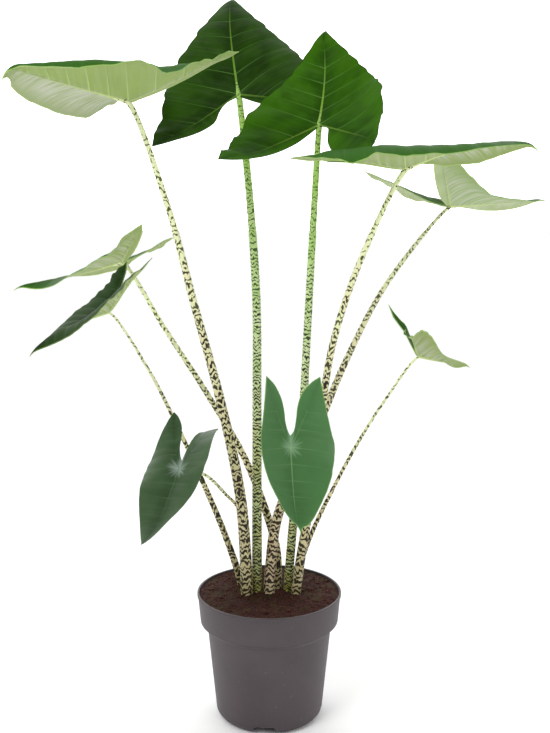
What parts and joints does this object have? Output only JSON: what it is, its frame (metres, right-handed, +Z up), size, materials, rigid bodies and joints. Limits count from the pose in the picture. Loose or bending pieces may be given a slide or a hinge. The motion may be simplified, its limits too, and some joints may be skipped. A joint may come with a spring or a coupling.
{
  "type": "potted zebrina alocasia",
  "caption": "Tall potted aroid with arrow-shaped leaves on zebra-banded stalks, standing in soil in a plain round nursery pot.",
  "frame": {"origin": "centre of the pot's flat foot, on the surface that the pot stands on", "axes": "+Z up along the pot's axis, -Y towards the viewer of the picture, +X to that viewer's right"},
  "size_m": [0.8688, 0.4763, 1.0817],
  "materials": {
    "pot": "matte",
    "soil": "matte",
    "cream_stalk": "satin",
    "green_stalk": "satin",
    "blade": "satin",
    "deep_green_blade": "satin"
  },
  "bodies": {
    "root": {"stalk_upper_left": "cream_stalk", "blade_upper_left": "blade", "stalk_top_rear": "green_stalk", "blade_top_rear": "deep_green_blade", "stalk_top_front": "green_stalk", "blade_top_front": "deep_green_blade", "stalk_left_front": "cream_stalk", "blade_left_front": "deep_green_blade", "stalk_left_rear": "cream_stalk", "blade_left_rear": "blade", "stalk_small_right": "cream_stalk", "blade_small_right": "blade", "stalk_upper_right": "cream_stalk", "blade_upper_right": "blade", "stalk_right_rear": "cream_stalk", "blade_right_rear": "blade", "stalk_low_left": "cream_stalk", "blade_low_left": "blade", "stalk_low_front": "cream_stalk", "blade_low_front": "blade", "soil": "soil", "pot": "pot"}
  },
  "joints": []
}
